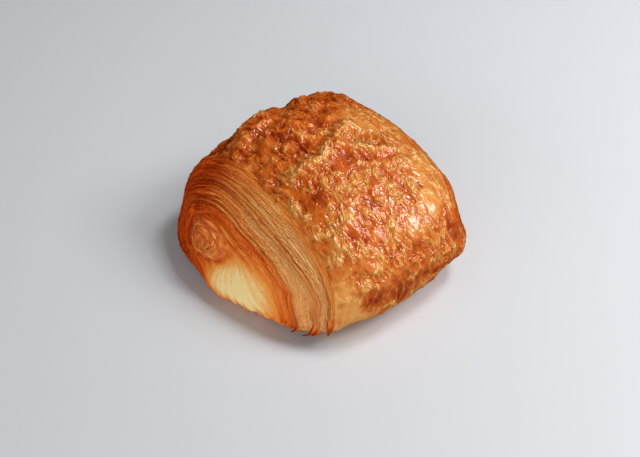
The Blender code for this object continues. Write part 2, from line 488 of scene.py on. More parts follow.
def grid_normals(points):
    """Outward unit normals of a grid of rings."""
    along = np.gradient(points, axis=0)
    around = np.roll(points, -1, axis=1) - np.roll(points, 1, axis=1)
    return unit(np.cross(around, along))


def surface(way, angle, relief):
    """Points of the body with its crown relief and extra relief, resting on the base."""
    points = body_point(way, angle)
    height = crown_relief(points) + relief
    points = points + outward(way, angle) * height[..., None]
    points[..., 2] = settle_on_base(points[..., 2])
    return points


# ------------ Meshes ------------


def grid_quads(rows, columns, closed):
    """Vertex numbers of the quads between rings, facing out."""
    row = np.arange(rows if closed else rows - 1)[:, None]
    column = np.arange(columns)[None, :]
    next_row, next_column = (row + 1) % rows, (column + 1) % columns
    quads = [row * columns + column, row * columns + next_column,
             next_row * columns + next_column, next_row * columns + column]
    return np.stack(quads, axis=-1).reshape(-1, 4)


def quad_map(rows, columns, closed):
    """Flat map of the same quads: rings across, angle up, with a small margin."""
    margin = 0.01
    count = rows if closed else rows - 1
    row = np.arange(count)[:, None] + np.zeros((1, columns))
    column = np.arange(columns)[None, :] + np.zeros((count, 1))
    corners = [(row, column), (row, column + 1), (row + 1, column + 1), (row + 1, column)]
    flat = np.stack([np.stack([r / count, c / columns], axis=-1) for r, c in corners], axis=2)
    return margin + (1.0 - 2.0 * margin) * flat.reshape(-1, 4, 2)


Part = namedtuple("Part", "vertices faces corners values")


def capped_part(points, caps, fields):
    """Closed skin from rings of points, whose first and last rings close in a fan."""
    rows, columns = points.shape[:2]
    faces = grid_quads(rows, columns, False).tolist()
    strips = quad_map(rows + 2, columns, False).reshape(rows + 1, columns, 4, 2)
    corners = [strips[1:-1].reshape(-1, 2)]
    for end, start, strip in ((0, 0, strips[0]), (1, (rows - 1) * columns, strips[-1])):
        for column in range(columns):
            pair = (start + (column + 1) % columns, start + column)
            near, far = strip[column, :2], strip[column, 2:]
            if end == 1:
                pair, near, far = pair[::-1], far, near
            faces.append((rows * columns + end, *pair))
            corners.append(np.stack([near.mean(axis=0), *far]))
    values = {key: np.concatenate([value.reshape(-1), [value[0].mean(), value[-1].mean()]])
              for key, value in fields.items()}
    return Part(np.concatenate([points.reshape(-1, 3), caps]), faces,
                np.concatenate(corners), values)


def looped_part(points, fields):
    """Closed skin from rings of points whose last ring joins the first."""
    rows, columns = points.shape[:2]
    return Part(points.reshape(-1, 3), grid_quads(rows, columns, True).tolist(),
                quad_map(rows, columns, True).reshape(-1, 2),
                {key: value.reshape(-1) for key, value in fields.items()})


def make_piece(name, parts, material):
    """Object from one or more parts, each with its own strip of the flat map."""
    vertices, faces, corners, offset = [], [], [], 0
    for order, part in enumerate(parts):
        vertices.append(part.vertices)
        faces += [[corner + offset for corner in face] for face in part.faces]
        corners.append((part.corners + [0.0, order]) / [1.0, len(parts)])
        offset += len(part.vertices)
    values = {key: np.concatenate([part.values[key] for part in parts])
              for key in parts[0].values}
    return mesh_object(name, (np.concatenate(vertices) - SHIFT) * MM, faces,
                       np.concatenate(corners), values, material)


def mesh_object(name, vertices, faces, corners, values, material):
    """Mesh object with a flat map and one float attribute for each field."""
    mesh = bpy.data.meshes.new(name)
    mesh.from_pydata(vertices.tolist(), [], faces)
    flat_map = mesh.uv_layers.new(name="OFBake")
    flat_map.data.foreach_set("uv", np.asarray(corners, dtype=np.float32).ravel())
    for key, value in values.items():
        layer = mesh.attributes.new(key, "FLOAT", "POINT")
        layer.data.foreach_set("value", value.astype(np.float32))
    mesh.shade_smooth()
    mesh.materials.append(material)
    piece = bpy.data.objects.new(name, mesh)
    bpy.context.collection.objects.link(piece)
    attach(piece, BODY)
    return piece


# ------------ Layered ends ------------


End = namedtuple("End", "eye_radius eye_stretch eye_towards gather sheet_edge seed")
LEFT_END = End(eye_radius=0.049, eye_stretch=0.38, eye_towards=math.radians(85), gather=3.4,
               sheet_edge=SHEET_LEFT, seed=40)
RIGHT_END = End(eye_radius=0.040, eye_stretch=0.0, eye_towards=0.0, gather=0.0,
                sheet_edge=1.0 - SHEET_RIGHT, seed=140)

# Layers: thin ones to each thick one, how far both fray, and their count at the eye.
THIN_PER_THICK = 3.3
THICK_FRAY = 0.06
THIN_FRAY = 0.32
PHASE_AT_EYE = 4.5

# Sides of soft bands, as angles round the roll in degrees or shares of the way to the sheet.
OVER_TOP = (50, 95, 225, 260)
GATHERED = (100, 265, 243, 292)
FACING_DOWN = (110, 170, 250, 300)
SPONGY_IN_FRONT = (math.radians(92), math.radians(132))
INNER_SPONGY_BAND = (0.26, 0.34, 0.44, 0.52)
OUTER_SPONGY_BAND = (0.55, 0.62, 0.74, 0.82)
FANNED_OUT = (0.12, 0.35)
LAST_STRAND = (0.84, 0.88)

# Rows of an end that lie under the glazed sheet, how deep they dive there, and the grid.
SEEN_UNDER_SHEET = 0.004
HIDDEN_ROWS = 5
TUCKED_FROM_EDGE = (-0.002, 0.008)
TUCKED_DEPTH = 2.2
ANGLE_COUNT_LEFT = 312
ANGLE_COUNT_RIGHT = 300
BASE_SHARE = 0.45

# Relief of the layers, as shares of a layer's step.
LAYER_RELIEF = {"steps": 1.0, "fanned_steps": 0.5, "step_edges": 0.22, "thin_layers": 0.375,
                "streaks": 0.30, "sponge": 0.5}

# What darkens the layers (+) or leaves them paler (-), from 0, unbaked, to 1, darkest; the pits
# are painted shade in the pores.
PLAIN_LAYER = 0.42
LAYER_BLOTCHES = 0.26
LAYER_FIBRES = 0.65
LAYER_LINES = 0.50
LAYER_HAIRS = 0.19
LAYER_PITS = 0.30
LAYER_TOAST = {"fan": -0.28, "sponge": -0.08, "thick_layers": 0.16, "spongy_thick_layers": -0.06,
               "thin_layers": 0.16, "spongy_thin_layers": -0.10, "edges": 0.16,
               "fanned_edges": 0.20, "thin_edges": 0.24, "streaks": 0.16, "strand": 0.07}
LEFT_TOAST = {"back": 0.35, "low": 0.10, "tips": 0.44}

# The knot in the eye of a swirl: relief in millimetres, and toast.
EYE_RELIEF = {"dome": 1.2, "folds": 0.12, "lumps": 0.20, "coil": 0.55}
PLAIN_EYE = 0.51
EYE_TOAST = {"clouds": 0.26, "folds": -0.08, "coil": -0.26, "outside": 0.12}
# Groove round the eye: its depth, and the painted shade in it.
GROOVE_DEPTH = 0.5
GROOVE_TOAST = 0.16

# The pale patch below the left eye: an oval in Y and Z, whose fibres fan out from a point.
PATCH_CENTRE = (-11.5, 10.0)
PATCH_HALF = (18.5, 13.5)
FIBRE_CENTRE = (3.0, 30.0)
PATCH_RISE = 0.6
PATCH_FLATNESS = 0.85
FIBRE_RISE = 0.22
PLAIN_PATCH = 0.01
PATCH_TOAST = {"fibre": 0.11, "rim": 0.24, "rim_fibre": 0.10, "foot": 0.50}

# Where the layers below the eye are tucked under, and how far.
TUCK_ANGLE = math.radians(232)
TUCK_SPREAD = math.radians(30)
TUCK_WAYS = (0.06, 0.13, 0.17, 0.255)
TUCK = 0.034

# Tattered foot and browned underside of the left end.
TATTER_RISE = 0.8
TATTER_SIZE = (2.6, 2.6, 9.0)
PLAIN_UNDERSIDE = 0.44
UNDERSIDE_FIBRE = 0.22
UNDERSIDE_SHARE = 0.8
UNDERSIDE_Y = (-40.0, -28.0, 2.0, 14.0)


def round_eye(angle, radius, height=None):
    """Point on a circle for each angle, so that noise joins up all the way round."""
    if height is None:
        height = np.zeros_like(angle)
    return np.stack([np.cos(angle) * radius, np.sin(angle) * radius, height], axis=-1)


def streaks(reach, angle, count, length, seed):
    """Streaks that follow the layers, about -1 to 1: count across them, length round them."""
    return lattice_noise(round_eye(angle, length, reach * count), seed)


def layer_phase(spread, angle, layers, seed, fray):
    """Count of layers passed on the way from the eye, drifting a little round the roll."""
    slow = 0.9 * streaks(spread, angle, 2.0, 0.9, seed)
    quick = 0.16 * streaks(spread, angle, 6.0, 2.6, seed + 1)
    quick += 0.09 * streaks(spread, angle, 15.0, 7.0, seed + 4)
    uneven = 1.2 * streaks(spread, angle, 4.0, 0.4, seed + 2)
    uneven += 0.5 * streaks(spread, angle, 9.0, 0.6, seed + 3)
    uneven += fray * streaks(spread, angle, 30.0, 11.0, seed + 6)
    drift = (slow + quick + uneven) * smooth_step(spread, 0.0, 0.12)
    return spread * layers + drift + PHASE_AT_EYE


def per_layer(number, seed):
    """One random value, 0 to 1, for each layer."""
    values = np.random.default_rng(seed).random(128)
    return values[number.astype(int) % 128]


def spongy_bands(phase, spread, angle, layers, seed):
    """Share of open dough between the layers: a faint inner band and a full outer one."""
    drifted = (phase - PHASE_AT_EYE) / layers + 0.07 * streaks(spread, angle, 2.0, 1.1, seed + 20)
    drifted += 0.02 * streaks(spread, angle, 7.0, 4.0, seed + 21)
    inner_band = band(drifted, *INNER_SPONGY_BAND)
    outer_band = band(drifted, *OUTER_SPONGY_BAND)
    in_front = smooth_step(angle, *SPONGY_IN_FRONT)
    return np.maximum(outer_band, 0.75 * inner_band) * in_front


def eye_fields(ring, rim, angle, seed):
    """Relief and toast of the coiled knot in the eye of a swirl, and where it shows."""
    share = (ring / rim).clip(0.0, 1.0)
    shows = smooth_step(ring, rim * 1.22, rim * 0.80)
    place = round_eye(angle, 1.0) * (share * 4.6)[..., None]
    warp = 0.6 * lattice_noise(place * 0.6, seed + 15)[..., None]
    folds = crests(place + warp, 1.3, seed + 16, 0.25)
    coil = streaks(share, angle + 2.0 * share, 5.0, 1.3, seed + 19)
    relief = weighted(
        EYE_RELIEF, dome=1.0 - share ** 2.2, folds=folds * shows,
        lumps=lattice_noise(place, seed + 14) * shows,
        coil=smooth_step(coil, 0.0, 0.3) * shows)
    toast = PLAIN_EYE + weighted(
        EYE_TOAST, clouds=lattice_noise(place, seed + 17), folds=folds,
        coil=smooth_step(coil, 0.0, 0.35), outside=share ** 2)
    return relief, toast, shows


def end_fields(end, ring, angle, layers, step):
    """Relief and colour fields of one layered end.  ring is the way from its own eye."""
    seed = end.seed
    rim = end.eye_radius * (1.0 + end.eye_stretch * np.cos(angle - end.eye_towards))
    rim = rim * (1.06 - 0.14 * np.sin(2.0 * angle) ** 2)
    eye_share = (ring / rim).clip(0.0, 1.0)
    reach = ((ring - rim) / (end.sheet_edge - rim)).clip(0.0, 1.3)
    in_layers = smooth_step(reach, 0.0, 0.05)
    spread = reach ** (1.0 + end.gather * angle_band(angle, *GATHERED))

    phase = layer_phase(spread, angle, layers, seed, THICK_FRAY)
    thin_phase = layer_phase(spread, angle, layers * THIN_PER_THICK, seed + 5, THIN_FRAY)
    number, across = np.floor(phase), phase % 1.0
    thin_number, thin_across = np.floor(thin_phase), thin_phase % 1.0

    over_top = angle_band(angle, *OVER_TOP)
    fan = over_top * smooth_step(spread, *FANNED_OUT)
    strand = smooth_step(spread, *LAST_STRAND) * (0.3 + 0.7 * over_top)
    spongy = spongy_bands(phase, spread, angle, layers, seed) * over_top
    chance, thin_chance = per_layer(number, seed + 2), per_layer(thin_number, seed + 7)
    fading = 0.75 + 0.6 * streaks(number, angle, 7.3, 1.3, seed + 6)
    strength = (0.55 + 0.45 * chance) * (1.0 - fan) + (0.15 + 0.95 * chance ** 2) * fan * fading
    strength = strength * (1.0 - 0.6 * spongy)
    edge = (bell(across, 0.09) + bell(1.0 - across, 0.05)) * strength
    worn = smooth_step(streaks(spread, angle, 22.0, 4.0, seed + 18), -0.5, 0.4)
    thin_edge = bell(thin_across - 0.5, 0.16) * thin_chance * worn
    slope = saw(across, 0.86) * strength
    relief = step * in_layers * weighted(
        LAYER_RELIEF, steps=slope, fanned_steps=slope * fan, step_edges=edge,
        thin_layers=np.cos(2.0 * np.pi * thin_across) * (0.35 + 0.65 * thin_chance),
        streaks=streaks(spread, angle, layers * 2.2, 2.5, seed + 9),
        sponge=spongy * streaks(spread, angle, 40.0, 9.0, seed + 8))

    eye_relief, eye_toast, in_eye = eye_fields(ring, rim, angle, seed)
    facing_down = angle_band(angle, *FACING_DOWN)
    # Groove round the eye, sunk and painted darker as painted shade, most on the side facing
    # down.
    groove = bell(ring - rim, rim * 0.16) * (0.15 + 0.85 * facing_down)
    relief += eye_relief - GROOVE_DEPTH * groove

    thick_shade = per_layer(number, seed + 3) - 0.5
    thin_shade = per_layer(thin_number, seed + 4) - 0.5
    toast = PLAIN_LAYER + weighted(
        LAYER_TOAST, fan=fan, sponge=spongy, strand=strand,
        thick_layers=thick_shade, spongy_thick_layers=thick_shade * spongy,
        thin_layers=thin_shade, spongy_thin_layers=thin_shade * spongy,
        edges=edge * worn, fanned_edges=edge * worn * fan,
        thin_edges=thin_edge * (1.0 - 0.7 * spongy),
        streaks=streaks(spread, angle, layers * 1.5, 0.9, seed + 12))
    toast = paler_by_half(toast, PALE_LAYER)
    toast = toast * (1.0 - in_eye) + eye_toast * in_eye + GROOVE_TOAST * groove
    fibrous = in_layers * (1.0 - 0.4 * strand - 0.25 * spongy)
    fields = {"toast": toast,
              "layer": (0.20 * fan * (1.0 - strand) + spongy + 0.18 * in_eye).clip(0.0, 1.0),
              "fibrous": np.maximum(fibrous, 0.9 * in_eye),
              "strata": phase - 2.2 * (1.0 - eye_share),
              "turn_x": eye_share * np.cos(angle), "turn_y": eye_share * np.sin(angle)}
    return relief, fields, reach, rim


def blend(fields, key, value, share):
    """Move one field towards a value by a share."""
    fields[key] = fields[key] * (1.0 - share) + value * share


def end_ways(sheet_edge, rows, beyond):
    """Ways of an end's rings, close together up to the sheet's edge and sparse under it."""
    seen = sheet_edge + SEEN_UNDER_SHEET
    return np.concatenate([np.linspace(0.0, seen, rows + 1)[1:],
                           np.linspace(seen, sheet_edge + beyond, HIDDEN_ROWS + 1)[1:]])


def finish_end(name, ring, angle, way, relief, fields, reach, thickness, colours, sheet_edge):
    """Mesh of a layered end whose outer rings dive under the glazed sheet."""
    tucked_from, tucked_to = (sheet_edge + offset for offset in TUCKED_FROM_EDGE)
    points = surface(way, angle, relief - 0.5 * thickness * smooth_step(reach, 0.0, 0.9))
    tucked = TUCKED_DEPTH * smooth_step(ring, tucked_from, tucked_to)
    points -= grid_normals(points) * tucked[..., None]
    caps = np.array([points[0].mean(axis=0), points[-1].mean(axis=0)])
    return make_piece(name, [capped_part(points, caps, fields)], layer_material(colours))


def pale_patch(ring, rim, y, z):
    """How much the pale patch shows at each point, its fibres and its toast."""
    oval = np.hypot((y - PATCH_CENTRE[0]) / PATCH_HALF[0], (z - PATCH_CENTRE[1]) / PATCH_HALF[1])
    shows = (1.0 - smooth_step(oval, 0.72, 1.28)) * smooth_step(ring, rim * 0.95, rim * 1.25)
    fan_angle = np.arctan2(z - FIBRE_CENTRE[1], y - FIBRE_CENTRE[0])
    place = np.stack([fan_angle * 17.0, oval * 1.2, np.zeros_like(y)], axis=-1)
    fibre = lattice_noise(place, 71) + 0.6 * lattice_noise(place * 2.3, 72)
    fibre += 0.3 * lattice_noise(place * [4.6, 1.6, 1.0], 73)
    towards_rim = smooth_step(oval, 0.44, 1.04)
    toast = PLAIN_PATCH + weighted(
        PATCH_TOAST, fibre=fibre, rim=towards_rim, rim_fibre=fibre * towards_rim,
        foot=smooth_step(z, 9.0, 3.0) * smooth_step(fibre, -0.4, 0.5))
    return shows, fibre, toast


def build_left_end(sizes, colours):
    """Large swirl of stacked layers with its eye and the pale stretched patch below it."""
    ring, angle = np.meshgrid(end_ways(SHEET_LEFT, 300, 0.03),
                              even_angles(ANGLE_COUNT_LEFT, BASE_SHARE), indexing="ij")
    relief, fields, reach, rim = end_fields(
        LEFT_END, ring, angle, sizes.layers_left, sizes.layer_step / MM)
    tuck = bell(angle - TUCK_ANGLE, TUCK_SPREAD) * band(ring, *TUCK_WAYS)
    way = pulled(ring, angle) + TUCK * tuck
    x, y, z = np.moveaxis(body_point(way, angle), -1, 0)

    pale, fibre, patch_toast = pale_patch(ring, rim, y, z)
    relief = relief * (1.0 - PATCH_FLATNESS * pale) + pale * (PATCH_RISE + FIBRE_RISE * fibre)
    blend(fields, "toast", patch_toast, pale)
    blend(fields, "layer", 0.0, pale)
    blend(fields, "fibrous", 0.0, pale)

    tatters = lattice_noise(np.stack([y, x, z], axis=-1) / TATTER_SIZE, 75)
    relief += TATTER_RISE * tatters * hump(z, 2.0, 5.0)
    tip_streaks = smooth_step(streaks(reach, angle, 11.0, 1.0, 41), -0.1, 0.3)
    fields["toast"] += (1.0 - pale) * weighted(
        LEFT_TOAST, back=smooth_step(y, -2.0, 40.0) * (1.0 - 0.3 * smooth_step(z, 30.0, 42.0)),
        low=smooth_step(z, 24.0, 8.0),
        tips=smooth_step(z, 20.0, 3.0) * smooth_step(reach, 0.45, 0.6) * tip_streaks)
    under = UNDERSIDE_SHARE * smooth_step(z, 8.0, 4.0) * band(y, *UNDERSIDE_Y)
    blend(fields, "toast", PLAIN_UNDERSIDE + UNDERSIDE_FIBRE * fibre, under * (1.0 - pale))
    blend(fields, "fibrous", 0.0, under)
    return finish_end("swirl_end_left", ring, angle, way, relief, fields, reach,
                      sizes.sheet_thickness / MM, colours, SHEET_LEFT)


def build_right_end(sizes, colours):
    """Small swirl of stacked layers at the fuller end."""
    sheet_edge = RIGHT_END.sheet_edge
    ring, angle = np.meshgrid(end_ways(sheet_edge, 200, 0.025)[::-1],
                              even_angles(ANGLE_COUNT_RIGHT, BASE_SHARE), indexing="ij")
    relief, fields, reach, _ = end_fields(
        RIGHT_END, ring, angle, sizes.layers_right, sizes.layer_step / MM)
    way = 1.0 - ring
    y = body_point(way, angle)[..., 1]
    fields["toast"] += 0.05 + 0.12 * smooth_step(y, 0.0, 40.0)
    return finish_end("swirl_end_right", ring, angle, way, relief, fields, reach,
                      sizes.sheet_thickness / MM, colours, sheet_edge)


# ------------ Loose corners ------------

Corner = namedtuple("Corner", "ring angle length half_width curl")
PLAIN_CORNER = 0.44
CORNER_TIP = 0.46
CORNER_STRIPES = 0.10

CORNERS = (
    Corner(0.252, 180, 19.8, 1.9, 1.7),
    Corner(0.221, 183, 19.8, 1.8, 1.7),
    Corner(0.236, 199, 7.0, 1.5, 1.4),
    Corner(0.200, 206, 5.0, 1.2, 0.8),
)


def corner_part(corner):
    """One pointed end of a layer that lies on the body, curls out and tapers to a tip."""
    rings, sides, probe_angle = 26, 18, math.radians(8.0)
    sunk, raised, tip_half_width, root_half_depth, tip_half_depth = 1.5, 0.9, 0.12, 0.75, 0.14
    share = np.linspace(0.0, 1.0, rings)
    start = math.radians(corner.angle)
    probe_way = np.full(2, pulled(corner.ring, start))
    probe = body_point(probe_way, np.array([start, start + probe_angle]))
    pace = np.linalg.norm(probe[1] - probe[0]) / probe_angle
    angles = start + share * corner.length / pace
    ways = pulled(np.full(rings, corner.ring), angles)
    out = outward(ways, angles)
    lift = corner.curl * share ** 2 - sunk * (1.0 - share) ** 2
    lift += raised * smooth_step(share, 0.20, 0.55)
    centre = body_point(ways, angles) + out * lift[:, None]
    forward = unit(np.gradient(centre, axis=0))
    side = unit(np.cross(out, forward))
    lid = np.cross(forward, side)
    half_width = corner.half_width * (1.0 - share ** 1.5) ** 0.8 + tip_half_width
    half_width *= 0.3 + 0.7 * smooth_step(share, 0.0, 0.4)
    half_depth = root_half_depth * (1.0 - share) ** 0.7 + tip_half_depth
    turn = -np.linspace(0.0, 2.0 * np.pi, sides, endpoint=False)
    points = (centre[:, None]
              + side[:, None] * (half_width[:, None] * np.cos(turn))[..., None]
              + lid[:, None] * (half_depth[:, None] * np.sin(turn))[..., None])
    points += 0.12 * lattice_noise(points / 1.4, 501)[..., None] * lid[:, None]
    points[..., 2] = settle_on_base(points[..., 2])
    browner = smooth_step(share, 0.30, 0.85)[:, None]
    toast = PLAIN_CORNER + CORNER_TIP * browner + CORNER_STRIPES * np.cos(5.0 * turn)
    nothing = np.zeros_like(toast)
    fields = {"toast": toast, "layer": nothing, "fibrous": nothing + 1.0,
              "strata": nothing + 0.5 * np.cos(turn), "turn_x": nothing + 0.6 * share[:, None],
              "turn_y": nothing}
    caps = np.array([points[0].mean(axis=0), points[-1].mean(axis=0) + forward[-1] * 0.1])
    return capped_part(points, caps, fields)


def build_corners(colours):
    """Browned pointed corners of dough where the layers tuck under the front."""
    return make_piece("layer_corners", [corner_part(corner) for corner in CORNERS],
                      layer_material(colours))


# ------------ Glazed sheet ------------


# Shares of the roll: the calm borders of the glazed sheet, how far its left border reaches
# over the top and frays, and the widths of its strands and of the folds low at the left.
MARGIN = (0.003, 0.014)
RIGHT_MARGIN = (SHEET_RIGHT - 0.08, SHEET_RIGHT - 0.02)
EDGE_OVER = 0.012
EDGE_OVER_ANGLE = math.radians(95)
EDGE_OVER_SPREAD = math.radians(35)
EDGE_RAGGED = (0.0022, 0.0018)
EDGE_FADE = 0.10
STRAND_WIDTH = 0.0065
RIGHT_STRAND_WIDTH = 0.010
FOLD_WIDTH = 0.020

# Relief of the glazed sheet: wrinkles as shares of the wrinkle height, the rest in millimetres.
WRINKLE_RELIEF = {"ridges": 1.45, "fine_crests": 0.40, "rumples": 1.2}
GLAZE_RELIEF = {"plain_billows": 0.45, "deep_billows": 1.6, "broad": 0.9, "quiet": 0.35,
                "blisters": 0.45, "strands": 0.30, "low_folds": 0.45, "right_strands": 0.32,
                "base_streaks": 0.35}

# What darkens the glazed sheet (+) or leaves it paler (-), from 0, unbaked, to 1, darkest:
# browning, with painted highlights on ridge, rumple and billow tops, fine crests and raised
# creases, and painted shade in the hollows between them and in the billow creases.
PLAIN_GLAZE = 0.58
GLAZE_BLOTCHES = 0.18
GLAZE_CRINKLES = -0.13
GLAZE_SPECKS = 0.12
GLAZE_TOAST = {"broad": 0.08, "patches": 0.08, "dark_patches": 0.08, "quiet": 0.04,
               "quiet_edges": 0.10, "rumple_tops": -0.12, "rumple_hollows": 0.14,
               "ridge_tops": -0.20, "ridge_hollows": 0.14, "fine_crests": -0.06,
               "billows": 0.20, "billow_creases": 0.24, "billow_tops": -0.14,
               "creases": -0.24, "hollows": 0.24, "margin": -0.04, "right_margin": -0.10,
               "right_strands": 0.10, "low_folds": 0.16, "low_front": 0.10,
               "low_front_patches": 0.10, "low_front_tops": -0.18, "right_side": 0.06,
               "back": -0.06, "base": -0.20, "base_streaks": 0.16}
RIM_TOAST = 0.20

# The sheet's grid, how far its inside lies below the outside, and its rolled-in rim: steps
# outwards and downwards, in thicknesses of the sheet.
SHEET_ROWS = 206
SHEET_COLUMNS = 452
SHEET_BASE_SHARE = 0.10
INSIDE_DEPTH = 2.6
RIM_STEPS = ((0.22, 0.12), (0.34, 0.42), (0.20, 0.9))
RIM_RETURN = -0.4
INSIDE_ROWS = (0.75, 0.5, 0.25)


def sheet_edge_left(ring, angle):
    """Way of the ragged left border of the glaze for a ring counted from the plain border."""
    over = EDGE_OVER * bell(angle - EDGE_OVER_ANGLE, EDGE_OVER_SPREAD)
    ragged = EDGE_RAGGED[0] * lattice_noise(round_eye(angle, 9.0), 391)
    ragged += EDGE_RAGGED[1] * lattice_noise(round_eye(angle, 24.0), 392)
    fade = 1.0 - smooth_step(ring, SHEET_LEFT, SHEET_LEFT + EDGE_FADE)
    return pulled(ring, angle) + (ragged - over) * fade


def spot_fields(points):
    """Tone, blisters and smoothness that the spots of the glazed sheet give each point, with
    painted shade round the blister rims.
    """
    toast, blisters, smooth = (np.zeros(points.shape[:-1]) for _ in range(3))
    for spot in SPOTS:
        near = nearness(points, spot.centre, spot.reach)
        toast += spot.toast * (1.4 * near).clip(0.0, 1.0)
        # Painted shade: a darker ring round the rim of each blister.
        toast += BLISTER_RIM * spot.rim * bell(near - 0.22, 0.12)
        blisters += spot.rim * smooth_step(near, 0.15, 0.60)
        smooth = np.maximum(smooth, spot.smooth * near)
    return toast, blisters, smooth


def line_fields(points, lines, vivid=1.0):
    """Relief of lines on the crown, and how far each point belongs to one."""
    share = smooth_step(points[..., 2], *HIGH_ON_CROWN) * vivid
    relief, shows = np.zeros_like(share), np.zeros_like(share)
    for line in lines:
        near = bell(distance_to_path(points, line.path), line.half_width) * share
        relief += line.rise * near
        shows = np.maximum(shows, near)
    return relief, shows


def swayed(flat, sway, sway_share, round_share):
    """Flat places shifted by the sway and squeezed round the roll."""
    return (flat + sway_share * sway) * [1.0, round_share, 1.0]


def wrinkles(flat, sway, spacing):
    """Crests, 0 to 1, of the ridges, the coarser rumples and the fine wrinkles."""
    ridge = crumpled(swayed(flat, sway, 2.2, 0.45), spacing * 1.2, 341)
    ridge *= 0.35 + 0.65 * smooth_step(cloud(flat, 6.0, 345, 1), -0.5, 0.3)
    rumple = crumpled(swayed(flat, sway, 2.4, 0.5), spacing * 2.6, 346, 2)
    return ridge, rumple, crests(swayed(flat, sway, 1.2, 0.55), spacing * 0.7, 351, 0.25)


def strand_fields(way, angle, from_left):
    """Share, 0 to 1, of the way across each strand, low fold and strand at the right."""
    place = round_eye(angle, 2.0, from_left * 10.0)
    strands = from_left / STRAND_WIDTH + 0.3 * lattice_noise(place, 371)
    folds = from_left / FOLD_WIDTH + 0.7 * lattice_noise(place * 0.5, 373)
    right_strands = (SHEET_RIGHT - way) / RIGHT_STRAND_WIDTH + 0.4 * lattice_noise(place, 372)
    return strands % 1.0, folds % 1.0, right_strands % 1.0


def sheet_fields(way, angle, sizes):
    """Relief, toast and calm of the wrinkled glazed sheet."""
    along, around = arc_along(way), arc_round(angle)
    nothing = np.zeros_like(along)
    flat = np.stack([along, around, nothing], axis=-1)
    sway = np.stack([cloud(flat, 11.0, 301, 2), cloud(flat, 13.0, 311, 2), nothing], axis=-1)
    body = body_point(way, angle)
    x, y, z = np.moveaxis(body, -1, 0)

    spots, blisters, smooth_spots = spot_fields(body + sway * 0.6)
    from_left = (way - sheet_edge_left(np.full_like(way, SHEET_LEFT), angle)).clip(0.0)
    margin = 1.0 - smooth_step(from_left, *MARGIN)
    right_margin = smooth_step(way, *RIGHT_MARGIN)
    near_base = 1.0 - smooth_step(z, 2.0, 9.0)
    calm = np.maximum.reduce([0.5 * margin, 0.9 * right_margin, 0.8 * near_base, smooth_spots,
                              0.35 * smooth_step(x, 20.0, 42.0)])
    moving = 1.0 - calm
    quiet = smooth_step(cloud(swayed(flat, sway, 1.6, 0.8), 10.0, 365, 3), 0.05, 0.20)
    quiet *= 0.35 + 0.65 * smooth_step(z, 14.0, 32.0)
    lively = moving * (1.0 - 0.65 * quiet)
    billowy = smooth_step(y - 0.3 * x, 4.0, 24.0) * (1.0 - right_margin)
    settled = 1.0 - 0.45 * smooth_step(z, 18.0, 5.0) - 0.25 * smooth_step(x, 18.0, 38.0)

    broad, patches = cloud(flat, 13.0, 321, 3), cloud(flat, 5.0, 381, 2)
    lumps = lattice_noise(swayed(flat, sway, 3.4, 0.6) / 7.5, 331)
    billow = np.abs(lumps)
    ridge, rumple, fine = wrinkles(flat, sway, sizes.wrinkle_length / MM)
    vivid = (0.75 + 0.5 * patches + 0.4 * (ridge - 0.4)).clip(0.0, 1.2)
    # Raised creases: their tops get a painted highlight.
    crease_relief, creases = line_fields(body + sway * 0.8, CREASES, vivid)
    # Sunk hollows: they get painted shade.
    hollow_relief, hollows = line_fields(body + sway * 0.8, HOLLOWS)

    strands, folds, right_strands = strand_fields(way, angle, from_left)
    low_fold = smooth_step(z, 26.0, 12.0) * (1.0 - smooth_step(from_left, 0.04, 0.09))
    base_band = 1.0 - smooth_step(z, 4.0, 12.0)
    base_streaks = lattice_noise(np.stack([x / 14.0, z / 0.9, nothing], axis=-1), 385) * base_band

    relief = crease_relief + hollow_relief
    relief += sizes.wrinkle_height / MM * settled * weighted(
        WRINKLE_RELIEF, ridges=lively * (ridge - 0.3), fine_crests=lively * (fine - 0.4),
        rumples=moving * (rumple - 0.3))
    relief += weighted(
        GLAZE_RELIEF, plain_billows=lively * (1.0 - billowy) * (billow - 0.3),
        deep_billows=moving * billowy * (billow - 0.3),
        broad=broad * (0.4 + 0.6 * lively), quiet=quiet, blisters=blisters,
        strands=saw(strands, 0.8) * margin, low_folds=saw(folds, 0.75) * low_fold,
        right_strands=saw(right_strands, 0.75) * right_margin, base_streaks=base_streaks)

    # Painted light in the tone: paler ridge, rumple and billow tops and fine crests are painted
    # highlights; darker hollows between ridges and rumples and billow creases are painted shade.
    ridge_tops = smooth_step(ridge, 0.30, 0.75) * lively
    low_front = smooth_step(z, 38.0, 24.0) * smooth_step(y, 10.0, -10.0)
    toast = PLAIN_GLAZE + spots + weighted(
        GLAZE_TOAST, broad=broad, patches=patches, dark_patches=smooth_step(patches, 0.10, 0.45),
        quiet=quiet, quiet_edges=4.0 * quiet * (1.0 - quiet),
        rumple_tops=lively * smooth_step(rumple, 0.35, 0.75),
        rumple_hollows=moving * (1.0 - smooth_step(rumple, 0.08, 0.32)),
        ridge_tops=ridge_tops,
        ridge_hollows=lively * (1.0 - smooth_step(ridge, 0.02, 0.25)),
        fine_crests=lively * fine, billows=billowy * lively,
        billow_creases=billowy * lively * bell(lumps, 0.12),
        billow_tops=billowy * lively * smooth_step(billow, 0.3, 0.7),
        creases=creases ** 2.5, hollows=hollows, margin=margin,
        right_margin=right_margin, right_strands=(right_strands - 0.5) * right_margin,
        low_folds=(folds - 0.6) * low_fold, low_front=low_front,
        low_front_patches=low_front * patches, low_front_tops=low_front * ridge_tops,
        right_side=smooth_step(x, 12.0, 45.0),
        back=smooth_step(y, 8.0, 24.0) * smooth_step(z, 36.0, 48.0),
        base=base_band, base_streaks=base_streaks)
    calm = np.maximum.reduce([calm, 0.70 * quiet, 0.45 * billowy])
    return relief, paler_by_half(toast, PALE_GLAZE), calm


